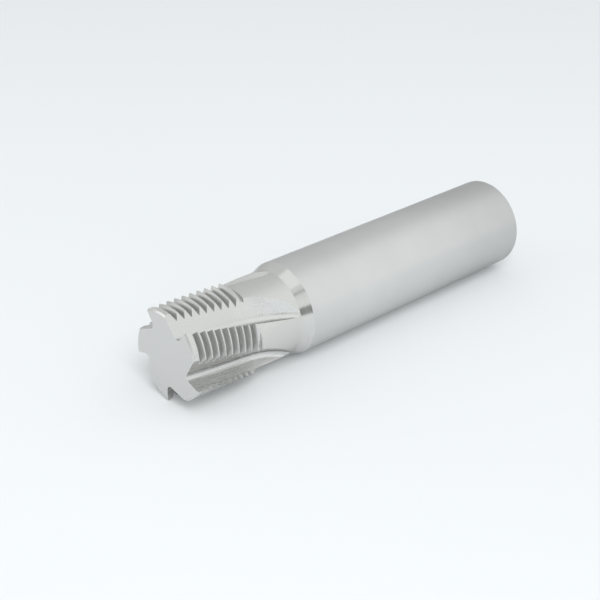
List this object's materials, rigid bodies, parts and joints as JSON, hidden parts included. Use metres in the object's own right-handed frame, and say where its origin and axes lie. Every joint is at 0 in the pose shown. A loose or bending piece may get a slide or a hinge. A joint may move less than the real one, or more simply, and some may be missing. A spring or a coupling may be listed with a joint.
{
  "type": "thread milling cutter",
  "caption": "Solid carbide thread milling cutter: round shank, slimmer neck, and a head of relieved thread-form teeth cut by helical flutes.",
  "frame": {"origin": "centre of the shank's end face, which the tool stands on", "axes": "+Z along the tool's axis from the shank end to the cutting end; +X and +Y across it, the first tooth's cutting edge at the front face lying 16.2 degrees from +X towards +Y"},
  "size_m": [0.016, 0.016, 0.075],
  "materials": {
    "ground_carbide": "fine ground satin, uncoated"
  },
  "bodies": {
    "root": {"thread_mill": "ground_carbide"}
  },
  "joints": []
}
